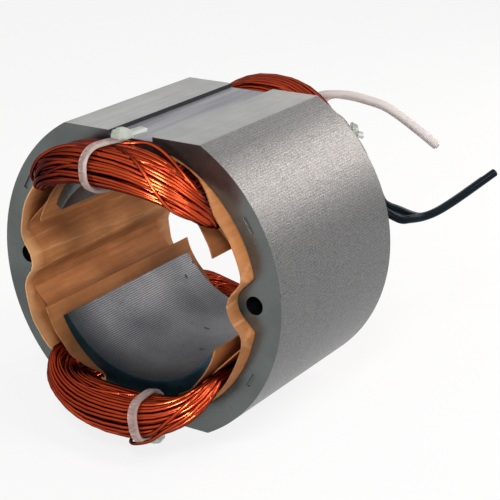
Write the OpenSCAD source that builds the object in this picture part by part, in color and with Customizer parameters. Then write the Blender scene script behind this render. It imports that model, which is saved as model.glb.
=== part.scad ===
// Two-pole wound field stator for a universal motor.
// Millimetres, +Z up. The origin is on the bore axis at mid length, the axis runs along Y,
// the front end faces -Y and the poles stand above and below the bore.

/* [Core] */
// Outer diameter of the lamination stack
core_d = 90; // [86:0.5:100]
// Length of the lamination stack
stack_l = 56.5; // [45:0.5:80]
// Distance across the upper and lower flats
flat_span = 79; // [78:0.5:84]
// Width of the groove along the middle of each flat
groove_w = 14; // [8:0.5:20]
// Depth of that groove
groove_depth = 1.2; // [0.6:0.1:1.6]
// Diameter of the bore between the pole faces
bore_d = 57; // [52:0.5:58]

/* [Poles and slots] */
// Angle that each pole face covers
pole_arc = 116.6; // [112:0.2:120]
// Width of each pole neck
neck_w = 24; // [20:0.5:28]
// Thickness of a pole shoe at its tip
shoe_tip_t = 2.2; // [1.6:0.1:2.6]
// Thickness of a pole shoe at its neck
shoe_root_t = 4.5; // [4:0.1:5.2]
// Diameter of the slot back walls
slot_d = 75.8; // [75.4:0.2:77.4]
// Least wall left between a slot and the flat outside it
back_wall = 3.5; // [3:0.1:4]

/* [Screw holes] */
// Distance between the two through holes
screw_span = 74; // [72:0.5:78]
// Diameter of the through holes
screw_d = 5; // [4:0.1:6]
// Wall left between a hole and the slot
boss_wall = 2.4; // [2:0.1:3]

/* [Interlock marks] */
// Radius on which the pressed marks lie
mark_r = 41.3; // [40.5:0.1:41.8]
// Angle of the marks from the horizontal
mark_angle = 30.5; // [20:0.5:45]
// Length of a mark
mark_l = 4.5; // [3:0.1:6]
// Width of a mark
mark_w = 1.2; // [0.8:0.1:1.6]
// Depth of a mark
mark_depth = 0.4; // [0.2:0.1:0.8]

/* [Slot paper] */
// Thickness of the slot liners and closing strips
paper_t = 0.4; // [0.3:0.05:0.5]
// Length of the cuffs that stand out of each end
cuff_l = 4.8; // [3:0.1:6]
// Opening left between the upper and lower lips of a liner
mouth_h = 24.8; // [23:0.1:27]
// Distance of a closing strip from the axis
closer_r = 32.4; // [31.6:0.1:32.8]

/* [Coils] */
// Diameter of the enamelled wire
wire_d = 1.05; // [0.9:0.05:1.4]
// How far the end turns stand out from the core
coil_reach = 17; // [14:0.5:24]
// Gap between the end turns and the core
coil_gap = 3.5; // [3:0.1:5]
// Height of the end turns above the axis on their bore side
coil_inner = 28.8; // [28.6:0.1:31]
// Thickness of the end turns, away from the axis
coil_h = 10.2; // [8:0.2:12]
// How much further out the rear end turns lie
rear_lift = 1; // [0:0.1:2]

/* [Cable ties] */
// Width of the tie strap
tie_w = 2.5; // [2:0.1:3]
// Thickness of the tie strap
tie_t = 1; // [0.8:0.1:1.3]
// Length of the tie head along the strap
head_l = 4.6; // [4:0.1:5.5]
// Width of the tie head
head_w = 4.4; // [3.6:0.1:5]
// Height of the tie head
head_h = 2.6; // [2.2:0.1:3.4]
// Length of a cut tail that lies along the strap past the head
tail_l = 5; // [2:0.5:8]
// Length of a cut tail that stands straight out of the head
stub_l = 1.8; // [0.5:0.1:3]

/* [Leads] */
// Diameter of the white leads
white_d = 2.3; // [1.8:0.1:2.6]
// Diameter of the black leads
black_d = 2.4; // [1.8:0.1:2.8]
// Diameter of the splice sleeves
sleeve_d = 3.2; // [2.8:0.1:3.6]

/* [Hidden] */
$fn = 96;

// Clearances between pieces that lie against each other
paper_gap = 0.15;
strip_gap = 0.25;
coil_clear = 0.35;
tie_clear = 0.45;
lean_clear = 1.35;
lead_clear = 0.3;
over = 1;

core_r = core_d / 2;
flat_z = flat_span / 2;
bore_r = bore_d / 2;
slot_r = slot_d / 2;
back_z = flat_z - back_wall;
neck_x = neck_w / 2;
end_y = stack_l / 2;

// Pole shoe back: one arc through the tip and the root, centred on the pole axis
tip_angle = 90 - pole_arc / 2;
shoe_tip = (bore_r + shoe_tip_t) * [cos(tip_angle), sin(tip_angle)];
shoe_root = [neck_x, sqrt(bore_r * bore_r - neck_x * neck_x) + shoe_root_t];
shoe_z = (shoe_tip * shoe_tip - shoe_root * shoe_root) / (2 * (shoe_tip[1] - shoe_root[1]));
shoe_r = norm(shoe_tip - [0, shoe_z]);

// Boss round each through hole, with flanks that slope to the slot wall
boss_x = screw_span / 2;
boss_r = screw_d / 2 + boss_wall;
boss_flank = 45;

// Where the paper cuffs begin to rise beside the necks, and where they reach full length
cuff_setback = 9;
cuff_run = 7.5;
cuff_root = 0.2;
cuff_from_x = neck_x + cuff_setback;
cuff_slope = (cuff_l - cuff_root) / cuff_run;
closer_angle = 45;

// Layers of paper that lie between the slot wall and the wire
lined = paper_gap + paper_t;

// Slot section of a coil side: polar band between the shoe and the slot wall
side_margin = 2.5;
side_out_r = slot_r - lined - coil_clear;
side_neck_angle = acos((neck_x + lined + coil_clear) / side_out_r) - side_margin;
side_mouth_angle = 42;
front_right_mouth_angle = 35;

// End-turn section at the middle of a coil
turn_d = (coil_reach + coil_gap) / 2;
turn_half_d = (coil_reach - coil_gap) / 2;
turn_half_z = coil_h / 2;

// Corners of that section, and the length of a quarter of its outline
corner_share = 0.8;
turn_corner = corner_share * min(turn_half_d, turn_half_z);
flat_b = turn_half_z - turn_corner;
flat_a = turn_half_d - turn_corner;
bend = PI / 2 * turn_corner;
quarter = flat_b + bend + flat_a;

// Wires on the coil's skin, and the depth of the furrows between them
skin_wires = round(4 * quarter / wire_d);
furrow = 0.07;
turn_steps = 16;
path_power = 0.85;
front_rise = 1.3;
rear_rise = 2.2;
front_neck = 1.2;
rear_neck = 2.7;
straight_mouth = 4;

// Point at distance x along the first quarter of the section's outline
function quarter_at(x) =
    x < flat_b ? [turn_half_d, x] :
    x > flat_b + bend ? [turn_half_d - turn_corner - (x - flat_b - bend), turn_half_z] :
    let (angle = (x - flat_b) / turn_corner * 180 / PI)
    [flat_a + turn_corner * cos(angle), flat_b + turn_corner * sin(angle)];

// Point at share t of the section's outline, as [a, b] from -1 to 1:
// a runs from the neck to the slot mouth, b from the bore side to the outer side
function section_at(t) =
    let (
        turns = 4 * (t - floor(t)),
        part = floor(turns),
        x = (turns - part) * quarter,
        q = quarter_at(part % 2 == 0 ? x : quarter - x)
    )
    [
        (part == 1 || part == 2 ? -1 : 1) * q[0] / turn_half_d,
        (part > 1 ? -1 : 1) * q[1] / turn_half_z
    ];
function power_of(x, p) = sign(x) * pow(abs(x), p);

// Place in the slot, as [x, z], of the strand at [a, b] of an upper coil's right side.
// The wires lie nearer the slot mouth where they leave the right slots at the front.
function mouth_angle(phi, end) = (end < 0 && phi < 90) ? front_right_mouth_angle : side_mouth_angle;
function side_angle(s, mouth) =
    let (t = (s[0] + 1) / 2)
    side_neck_angle * (1 - t) + mouth * t;
function side_in_r(angle) =
    let (
        r = shoe_r + lined + coil_clear,
        c = shoe_z * cos(angle),
        past_shoe = shoe_z * sin(angle) + sqrt(r * r - c * c),
        past_strip = (closer_r + coil_clear) / cos(min(angle, closer_angle) - closer_angle)
    )
    max(past_shoe, past_strip);
function side_far_r(angle) = min(side_out_r, (back_z - lined - coil_clear) / sin(angle));
function side_place(s, mouth) =
    let (angle = side_angle(s, mouth), inner = side_in_r(angle), outer = side_far_r(angle))
    ((outer + inner) + (outer - inner) * s[1]) / 2 * [cos(angle), sin(angle)];

// Point of a strand at angle phi of an end turn: 0 at the right slot, 90 at the middle, 180 left.
// end is -1 at the front and 1 at the rear.
function strand(s, phi, end) =
    let (
        side = side_place(s, mouth_angle(phi, end)),
        neck = (end > 0) ? rear_neck : front_neck,
        straight = neck + (straight_mouth - neck) * (s[0] + 1) / 2,
        reach = turn_d + turn_half_d * s[0] - straight,
        lift = (end > 0) ? rear_lift : 0,
        mid_z = coil_inner + turn_half_z + turn_half_z * s[1] + lift,
        rise = pow(sin(phi), (end > 0) ? rear_rise : front_rise)
    )
    [
        side[0] * power_of(cos(phi), path_power),
        end * (end_y + straight + reach * pow(sin(phi), path_power)),
        side[1] + (mid_z - side[1]) * rise
    ];

// Points of a tie's loop, and how far round the coil from its middle a strand may cross it
loop_points = 48;
loop_reach = 35;

// Angle at which a strand crosses the plane through point c with normal t, by halving
function crossing(s, end, c, t, low, high, n = 24) =
    let (mid = (low + high) / 2)
    n == 0 ? mid :
    (strand(s, mid, end) - c) * t < 0 ?
        crossing(s, end, c, t, mid, high, n - 1) : crossing(s, end, c, t, low, mid, n - 1);

// Triangles of a tube of rings, closed round the ring: joined end to end, or capped
function tube_sides(rings, sides, last) = [
    for (i = [0 : last], j = [0 : sides - 1])
        let (i2 = (i + 1) % rings, j2 = (j + 1) % sides)
        each [
            [i * sides + j, i2 * sides + j, i2 * sides + j2],
            [i * sides + j, i2 * sides + j2, i * sides + j2]
        ]
];

// Lead routes past the end turns, to the cut end. Y is measured from the rear face of the core.
lead_sides = 8;
white_route_a = [
    [11.5, 19.2, 34.1], [14, 20, 34.5], [19, 22, 34.5], [24, 23.5, 33.5], [29, 25, 32],
    [33, 26.5, 29.5], [38, 28.5, 25.5], [43.5, 31, 20.5]
];
white_route_b = [
    [12.5, 22.3, 33.4], [17.5, 24.3, 33.4], [22.5, 25.8, 32.4], [27.5, 27.3, 30.9],
    [31.5, 28.8, 28.4], [36.5, 30.8, 24.4], [42.2, 33.4, 19.3]
];
black_route_a = [
    [20.3, 15.3, 22.6], [24, 13.5, 20.6], [27.2, 11.2, 18], [30, 8.8, 15.2], [33.3, 7.6, 11.5],
    [36.5, 7.3, 8.5], [39.5, 8, 6.3], [42.5, 10.5, 4], [44, 13.5, 3.5], [45.5, 18, 3],
    [47.5, 23, 3.5], [49.5, 30, 5], [51.5, 37, 7], [55, 46, 10.5]
];
black_route_b = [
    [21.8, 17.2, 24.6], [25.6, 16.2, 21.4], [29.2, 13.6, 18.8], [32, 11.4, 16.2], [34.9, 10.4, 12],
    [37.3, 10.3, 8], [40.2, 14, 5.4], [42, 17.5, 3.3], [43.8, 20.8, 2], [45.8, 25.6, 2.35],
    [47.8, 32.6, 3.85], [49.8, 39.6, 5.85], [51.9, 45, 7.95]
];

// Where sleeves and leads lie on the outer face of the rear end turn, as [angle, share of height]:
// the sleeve's coil end, its lead end, the lead's start, and where the lead leaves the turn
white_laid_a = [[94, -0.1], [76, -0.1], [75, -0.1], [73, -0.1]];
white_laid_b = [[94, -0.8], [76, -0.8], [75, -0.8], [73, -0.8]];
black_laid_a = [[65, -1.45], [51, -1.45], [50, -1.45], [48, -1.45]];
black_laid_b = [[65, -0.35], [51, -0.35], [50, -0.35], [48, -0.35]];
laid_out = 1 + (sleeve_d / 2 + lead_clear) / turn_half_d;
sleeve_steps = 4;
function laid(from, to, steps) = [
    for (k = [0 : steps])
        let (at = from + (to - from) * k / steps)
        strand([laid_out, at[1]], at[0], 1)
];

// Extrudes a section drawn in X and Z along the stack
module along_stack(length) {
    rotate([90, 0, 0]) linear_extrude(length, center = true) children();
}

// Region taken up by a pole shoe, grown by e; its tip is cut square to the bore if tipped
module shoe_2d(e, tipped) {
    intersection() {
        translate([0, shoe_z]) circle(shoe_r + e);
        if (tipped)
            rotate(tip_angle) translate([0, -e]) square(2 * core_r);
        else
            square(2 * core_r);
    }
}

// Boss round the right through hole, grown by e
module boss_2d(e) {
    r = boss_r + e;
    translate([boss_x, 0]) {
        circle(r);
        polygon([
            r * [-cos(boss_flank), sin(boss_flank)],
            r * [-cos(boss_flank), sin(boss_flank)] + core_r * [sin(boss_flank), cos(boss_flank)],
            r * [-cos(boss_flank), -sin(boss_flank)] + core_r * [sin(boss_flank), -cos(boss_flank)],
            r * [-cos(boss_flank), -sin(boss_flank)]
        ]);
    }
}

// Right slot, drawn in by e from its walls
module slot_2d(e, tipped) {
    intersection() {
        circle(slot_r - e);
        square([2 * core_r, 2 * (back_z - e)], center = true);
        difference() {
            translate([neck_x + e, -core_r]) square([core_r, 2 * core_r]);
            shoe_2d(e, tipped);
            mirror([0, 1]) shoe_2d(e, tipped);
            boss_2d(e);
        }
    }
}

module core_2d() {
    difference() {
        intersection() {
            circle(core_r);
            square([2 * core_r, flat_span], center = true);
        }
        for (side = [0, 1]) {
            mirror([0, side]) translate([-groove_w / 2, flat_z - groove_depth])
                square([groove_w, groove_depth + over]);
            mirror([side, 0]) slot_2d(0, true);
        }
        circle(bore_r);
        for (x = [-boss_x, boss_x]) translate([x, 0]) circle(d = screw_d);
    }
}

module laminated_core() {
    color([0.55, 0.55, 0.54]) difference() {
        along_stack(stack_l) core_2d();
        for (y = [-end_y, end_y], turn = [mark_angle, -mark_angle, 180 - mark_angle, 180 + mark_angle])
            rotate([0, turn, 0]) translate([mark_r, y, 0])
                cube([mark_w, 2 * mark_depth, mark_l], center = true);
    }
}

// Liner section: one sheet that follows the slot wall and ends in a lip past each pole tip
module liner_2d() {
    difference() {
        slot_2d(paper_gap, false);
        slot_2d(lined, false);
        translate([0, -mouth_h / 2]) square([boss_x - boss_r - lined - over, mouth_h]);
    }
}

// Takes the cuff away beside the necks, where the wires leave the slot sideways
module cuff_trim() {
    past_y = end_y + cuff_l + over * cuff_slope;
    for (end = [0, 1]) mirror([0, end, 0]) translate([0, 0, -core_r]) linear_extrude(2 * core_r)
        polygon([
            [0, end_y + cuff_root], [cuff_from_x, end_y + cuff_root],
            [cuff_from_x + cuff_run + over, past_y], [0, past_y]
        ]);
}

module slot_liner() {
    color([0.72, 0.47, 0.24]) difference() {
        along_stack(stack_l + 2 * cuff_l) liner_2d();
        cuff_trim();
    }
}

module right_slot_liner() { slot_liner(); }
module left_slot_liner() { mirror([1, 0, 0]) slot_liner(); }

// Strip that closes the slot over a coil side, from behind the lip to the slot wall
module slot_closer() {
    color([0.66, 0.41, 0.2]) along_stack(stack_l) intersection() {
        slot_2d(lined + strip_gap, false);
        rotate(closer_angle) translate([closer_r - paper_t, -core_r]) square([paper_t, core_r]);
        translate([neck_x, mouth_h / 4]) square(core_r);
    }
}

module upper_right_closer() { slot_closer(); }
module upper_left_closer() { mirror([1, 0, 0]) slot_closer(); }
module lower_right_closer() { mirror([0, 0, 1]) slot_closer(); }
module lower_left_closer() { mirror([1, 0, 0]) mirror([0, 0, 1]) slot_closer(); }

// Wound bundle: a skin of wires round the pole, through both slots and across both ends
module field_coil() {
    sides = 2 * skin_wires;
    turns = concat(
        [for (k = [0 : turn_steps]) [180 * k / turn_steps, -1]],
        [for (k = [turn_steps : -1 : 0]) [180 * k / turn_steps, 1]]
    );
    points = [
        for (turn = turns, j = [0 : sides - 1])
            strand((1 - furrow * (j % 2)) * section_at(j / sides), turn[0], turn[1])
    ];
    color([0.76, 0.28, 0.1])
        polyhedron(points, tube_sides(len(turns), sides, len(turns) - 1));
}

module upper_field_coil() { field_coil(); }
module lower_field_coil() { mirror([0, 0, 1]) field_coil(); }

// Cable tie round an upper end turn at angle phi. Its plane is square to the wires, leans towards
// the plane that passes through every strand at that angle, and is turned about Z by twist.
// head_at is the share of the loop at which the head sits, from its outer face round by the top,
// and head_shift moves the head along the strap from there. The cut tail lies along the strap if
// laid_back, and stands out of the head if not.
module cable_tie(phi, end, head_at, head_shift, laid_back = false, lean = 0, twist = 0) {
    clear = lean > 0 ? lean_clear : tie_clear;
    centre = strand([0, 0], phi, end);
    ahead = strand([0, 0], phi + 1, end) - strand([0, 0], phi - 1, end);
    face = cross(
        strand([1, 0], phi, end) - strand([-1, 0], phi, end),
        strand([0, 1], phi, end) - strand([0, -1], phi, end)
    );
    across = ahead / norm(ahead) + lean * sign(face * ahead) * face / norm(face);
    normal = across / norm(across);
    polar = acos(normal[2]);
    around = atan2(normal[1], normal[0]) + twist;
    square_to = [sin(polar) * cos(around), sin(polar) * sin(around), cos(polar)];
    axis_u = [cos(polar) * cos(around), cos(polar) * sin(around), -sin(polar)];
    axis_v = [-sin(around), cos(around), 0];
    loop = [
        for (k = [0 : loop_points - 1])
            let (
                s = section_at(k / loop_points),
                low = max(phi - loop_reach, 0),
                high = min(phi + loop_reach, 180),
                at = crossing(s, end, centre, square_to, low, high),
                p = strand(s, at, end) - centre
            )
            [p * axis_u, p * axis_v]
    ];
    head_on = loop[round(head_at * loop_points)];
    head_turn = atan2(head_on[1], head_on[0]);
    function grown(by) = [for (q = loop) q * (1 + by / norm(q))];
    color([0.86, 0.84, 0.8]) translate(centre) rotate([0, polar, around]) {
        linear_extrude(tie_w, center = true) difference() {
            polygon(grown(clear + tie_t));
            polygon(grown(clear));
        }
        rotate(head_turn) translate([norm(head_on) + clear + tie_t / 2, head_shift, 0]) {
            translate([0, -head_l / 2, -head_w / 2]) cube([head_h, head_l, head_w]);
            if (laid_back)
                translate([tie_t / 2, 0, -tie_w / 2]) cube([tie_t, head_l / 2 + tail_l, tie_w]);
            else
                translate([0, -tie_t / 2, -tie_w / 2]) cube([head_h + stub_l, tie_t, tie_w]);
        }
    }
}

module front_upper_tie() { cable_tie(89, -1, 0.25, 4.6, laid_back = true, twist = -15); }
module front_lower_tie() { mirror([0, 0, 1]) cable_tie(68, -1, 0.25, 1.5, laid_back = true); }
module rear_upper_tie() { cable_tie(27, 1, 0.07, 0, lean = 2); }
module rear_lower_tie() { mirror([0, 0, 1]) cable_tie(90, 1, 0.25, -2); }

// Tube with round ends square to its path, through the points given
module tube(path, d) {
    n = len(path);
    points = [
        for (i = [0 : n - 1])
            let (
                ahead = path[min(i + 1, n - 1)] - path[max(i - 1, 0)],
                t = ahead / norm(ahead),
                flat = cross(t, [0, 0, 1]),
                u = flat / norm(flat),
                w = cross(t, u)
            )
            for (j = [0 : lead_sides - 1])
                path[i] + d / 2 * (cos(360 * j / lead_sides) * u + sin(360 * j / lead_sides) * w)
    ];
    caps = [
        [for (j = [0 : lead_sides - 1]) j],
        [for (j = [lead_sides - 1 : -1 : 0]) (n - 1) * lead_sides + j]
    ];
    polyhedron(points, concat(tube_sides(n, lead_sides, n - 2), caps));
}

// Sleeve over the joint of a coil end and a lead
module splice(at) { color([0.8, 0.74, 0.6]) tube(laid(at[0], at[1], sleeve_steps), sleeve_d); }

// Lead that starts at its sleeve, follows the end turn a little way and then takes its own route
module lead(at, route, d) {
    tube(concat(laid(at[2], at[3], 1), [for (p = route) p + [0, end_y, 0]]), d);
}

module white_splice_a() { splice(white_laid_a); }
module white_splice_b() { splice(white_laid_b); }
module black_splice_a() { splice(black_laid_a); }
module black_splice_b() { splice(black_laid_b); }

module white_lead_a() { color([0.85, 0.84, 0.82]) lead(white_laid_a, white_route_a, white_d); }
module white_lead_b() { color([0.85, 0.84, 0.82]) lead(white_laid_b, white_route_b, white_d); }
module black_lead_a() { color([0.08, 0.1, 0.12]) lead(black_laid_a, black_route_a, black_d); }
module black_lead_b() { color([0.08, 0.1, 0.12]) lead(black_laid_b, black_route_b, black_d); }

laminated_core();
right_slot_liner();
left_slot_liner();
upper_right_closer();
upper_left_closer();
lower_right_closer();
lower_left_closer();
upper_field_coil();
lower_field_coil();
front_upper_tie();
front_lower_tie();
rear_upper_tie();
rear_lower_tie();
white_splice_a();
white_splice_b();
black_splice_a();
black_splice_b();
white_lead_a();
white_lead_b();
black_lead_a();
black_lead_b();
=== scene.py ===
import math
import random

import bmesh
import bpy
from mathutils import Matrix, Vector, noise as ripple


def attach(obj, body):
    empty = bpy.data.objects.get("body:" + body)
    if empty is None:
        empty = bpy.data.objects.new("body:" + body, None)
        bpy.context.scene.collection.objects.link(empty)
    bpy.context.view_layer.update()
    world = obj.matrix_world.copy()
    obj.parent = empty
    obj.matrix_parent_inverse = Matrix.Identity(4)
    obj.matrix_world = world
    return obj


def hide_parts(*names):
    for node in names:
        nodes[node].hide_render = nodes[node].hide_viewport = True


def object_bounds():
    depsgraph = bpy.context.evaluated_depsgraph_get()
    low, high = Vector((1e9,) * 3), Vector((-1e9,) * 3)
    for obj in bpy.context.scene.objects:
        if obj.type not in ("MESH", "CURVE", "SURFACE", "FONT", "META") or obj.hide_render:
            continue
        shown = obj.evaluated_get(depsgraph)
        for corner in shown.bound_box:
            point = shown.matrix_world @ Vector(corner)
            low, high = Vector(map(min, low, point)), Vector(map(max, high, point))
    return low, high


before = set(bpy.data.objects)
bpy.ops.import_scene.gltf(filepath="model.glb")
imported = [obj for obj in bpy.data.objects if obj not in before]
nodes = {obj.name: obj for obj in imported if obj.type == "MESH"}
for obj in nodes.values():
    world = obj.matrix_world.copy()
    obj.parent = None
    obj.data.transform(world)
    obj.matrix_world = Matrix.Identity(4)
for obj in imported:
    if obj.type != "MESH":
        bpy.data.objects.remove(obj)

cad_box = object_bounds()
scene = bpy.context.scene
scene.view_settings.view_transform = "Standard"

# Lengths of the object are written in millimetres and turned to metres here
MM = 0.001


def mm(point):
    return Vector(point) * MM


# Camera: a long lens above the front right corner
CAMERA_PLACE = (233.29, -325.35, 145.51)
CAMERA_RIGHT = (0.8361, 0.5484, -0.0158)
CAMERA_BACK = (0.5195, -0.7821, 0.3443)
CAMERA_LENS = 110.59
CAMERA_SENSOR = 36

camera_data = bpy.data.cameras.new("studio_camera")
camera_data.sensor_width = CAMERA_SENSOR
camera_data.lens = CAMERA_LENS
camera = bpy.data.objects.new("studio_camera", camera_data)
scene.collection.objects.link(camera)
back = Vector(CAMERA_BACK).normalized()
up = back.cross(Vector(CAMERA_RIGHT)).normalized()
right = up.cross(back)
camera.matrix_world = Matrix.Translation(mm(CAMERA_PLACE)) @ Matrix((right, up, back)).transposed().to_4x4()
scene.camera = camera


# Shader nodes

def feed(tree, socket, value):
    """Links a socket to another one, or sets its plain value."""
    if isinstance(value, bpy.types.NodeSocket):
        tree.links.new(value, socket)
    else:
        socket.default_value = value


def add_node(tree, kind, inputs=None, **settings):
    """Adds a shader node, sets its properties, and feeds its inputs by name or place."""
    made = tree.nodes.new(kind)
    for key, value in settings.items():
        setattr(made, key, value)
    for key, value in (inputs or {}).items():
        feed(tree, made.inputs[key], value)
    return made


def maths(tree, operation, first, second=0.5):
    return add_node(tree, "ShaderNodeMath", {0: first, 1: second}, operation=operation).outputs[0]


def times(tree, first, second):
    return maths(tree, "MULTIPLY", first, second)


def without_sign(tree, value):
    return maths(tree, "ABSOLUTE", value)


def distance(tree, across, upward):
    """Distance of a place from a line along the core."""
    squares = [maths(tree, "POWER", length, 2.0) for length in (across, upward)]
    return maths(tree, "SQRT", maths(tree, "ADD", *squares))


def ramp(tree, value, low, high, start=0.0, end=1.0):
    """Straight ramp of a value, held between its ends."""
    made = add_node(tree, "ShaderNodeMapRange", {0: value, 1: low, 2: high, 3: start, 4: end})
    return made.outputs[0]


def spread(tree, share, start, end):
    """Value between two ends, by a share."""
    return ramp(tree, share, 0.0, 1.0, start, end)


def stripes(tree, value, low, high):
    """Soft lines, one at each whole number of a value."""
    from_middle = maths(tree, "SUBTRACT", maths(tree, "FRACT", value), 0.5)
    return ramp(tree, without_sign(tree, from_middle), low, high)


def blend(tree, share, first, second):
    """Mix of two plain values by a share."""
    return add_node(tree, "ShaderNodeMix", {0: share, 2: first, 3: second}).outputs[0]


def mix(tree, share, first, second):
    """Mix of two colours by a share."""
    made = add_node(tree, "ShaderNodeMix", {0: share}, data_type="RGBA")
    for place, colour in ((6, first), (7, second)):
        feed(tree, made.inputs[place], (*colour, 1) if isinstance(colour, tuple) else colour)
    return made.outputs[2]


def noise(tree, place, scale, detail=4.0, rough=0.55):
    inputs = {"Vector": place, "Scale": scale, "Detail": detail, "Roughness": rough}
    return add_node(tree, "ShaderNodeTexNoise", inputs).outputs["Fac"]


def drawn_out(tree, place, along):
    """Place with its length along the core scaled, so that a texture runs that way."""
    return add_node(tree, "ShaderNodeMapping", {"Vector": place, "Scale": (1.0, along, 1.0)}).outputs[0]


def place_on_object(tree):
    return add_node(tree, "ShaderNodeTexCoord").outputs["Object"]


def point_value(tree, name):
    """Value that a mesh stores at its points."""
    return add_node(tree, "ShaderNodeAttribute", attribute_name=name).outputs["Fac"]


def mottle_group():
    """Uneven tone of a handled surface: a slow cloud, and fine specks."""
    tree = bpy.data.node_groups.new("mottle", "ShaderNodeTree")
    tree.interface.new_socket("Place", in_out="INPUT", socket_type="NodeSocketVector")
    for label in ("Cloud scale", "Speck scale"):
        tree.interface.new_socket(label, in_out="INPUT", socket_type="NodeSocketFloat")
    for label in ("Cloud", "Speck"):
        tree.interface.new_socket(label, in_out="OUTPUT", socket_type="NodeSocketFloat")
    start = tree.nodes.new("NodeGroupInput").outputs
    end = tree.nodes.new("NodeGroupOutput").inputs
    cloud = noise(tree, start["Place"], start["Cloud scale"], 5.0, 0.6)
    speck = noise(tree, start["Place"], start["Speck scale"], 2.0, 0.5)
    feed(tree, end["Cloud"], ramp(tree, cloud, 0.32, 0.68))
    feed(tree, end["Speck"], ramp(tree, speck, 0.35, 0.65))
    return tree


MOTTLE = mottle_group()


def mottled(tree, cloud_scale, speck_scale):
    """Place on the object, and the cloud and the specks of the mottle there."""
    place = place_on_object(tree)
    inputs = {"Place": place, "Cloud scale": cloud_scale, "Speck scale": speck_scale}
    made = add_node(tree, "ShaderNodeGroup", inputs, node_tree=MOTTLE)
    return place, made.outputs["Cloud"], made.outputs["Speck"]


def new_material(name):
    material = bpy.data.materials.new(name)
    material.use_nodes = True
    tree = material.node_tree
    return material, tree, tree.nodes["Principled BSDF"]


def set_plain(shader, **values):
    for label, value in values.items():
        shader.inputs[label.replace("_", " ")].default_value = value


def paint(tree, shader, colour, rough):
    feed(tree, shader.inputs["Base Color"], colour)
    feed(tree, shader.inputs["Roughness"], rough)


def bump(tree, shader, height, depth):
    made = add_node(tree, "ShaderNodeBump", {"Height": height, "Distance": depth, "Strength": 1.0})
    feed(tree, shader.inputs["Normal"], made.outputs[0])


def darker(colour, share):
    return tuple(share * c for c in colour)


# Where the steel's colour changes, in metres: one place, or the start and end of a ramp; several of these
# bound painted shade or painted glare
FLAT_HEIGHT = (0.0375, 0.038)
GROOVE_SIDE = (0.00705, 0.0069)
SHADED_GROOVE_WALL_SIDE = (0.008, 0.0075)
BORE_RADIUS = (0.0292, 0.0288)
SCREW_HOLE_X = 0.037
SCREW_HOLE_RADIUS = (0.00262, 0.00256)
POLE_RADIUS = (0.036, 0.033)
LOWER_HALF = (0.002, -0.002)
PRESSED_MARK_Y = (0.0282, 0.0281)
BORE_FRONT_SHADE_Y = (-0.0165, -0.0275)
# The hatch marks are real; their fading towards +x paints glare on that side of the pole face
HATCH_GLARE_FADE_X = (-0.014, 0.01)
SHEET_PITCH = 0.0005
# How squarely a face looks along an axis to be taken as facing it
FACES_END = (0.8, 0.9)
FACES_UP = (0.985, 0.997)
FACES_ASIDE = (0.97, 0.99)
# Tool marks along the core, to the radian
GRIND_LINES = 60.0
HATCH_LINES = 46.0
# Steel colours, the darker first where there are two
BARREL = (0.106, 0.112, 0.113), (0.248, 0.244, 0.241)
BARREL_SHEET = (0.228, 0.226, 0.224)
BARREL_GRIND = (0.055, 0.056, 0.057)
FLAT = (0.324, 0.326, 0.319), (0.422, 0.424, 0.412)
FLAT_STREAK = (0.26, 0.254, 0.249)
GROOVE = (0.245, 0.25, 0.272), (0.36, 0.36, 0.375)
# Painted shade: the wall of the groove is coloured near-black for the shade in it
GROOVE_WALL_SHADE = (0.035, 0.038, 0.045)
BORE = (0.12, 0.134, 0.15), (0.30, 0.315, 0.338)
# Painted shade: the bore darkens towards its front, next to the coil ends
BORE_FRONT_SHADE = (0.006, 0.013, 0.018)
BORE_HATCH = (0.016, 0.02, 0.028)
BORE_PIT = (0.012, 0.014, 0.02)
SEAM = (0.035, 0.039, 0.045)
# Painted shade: the walls of the screw holes are coloured almost black
SCREW_HOLE_SHADE = (0.004, 0.005, 0.007)
END_FACE = (0.095, 0.107, 0.105), (0.136, 0.148, 0.144)
# Painted shade and reflection: the lower pole's end face is coloured dark teal for the dark coil in front of
# it
LOW_POLE_SHADE = (0.028, 0.07, 0.096)


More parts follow.
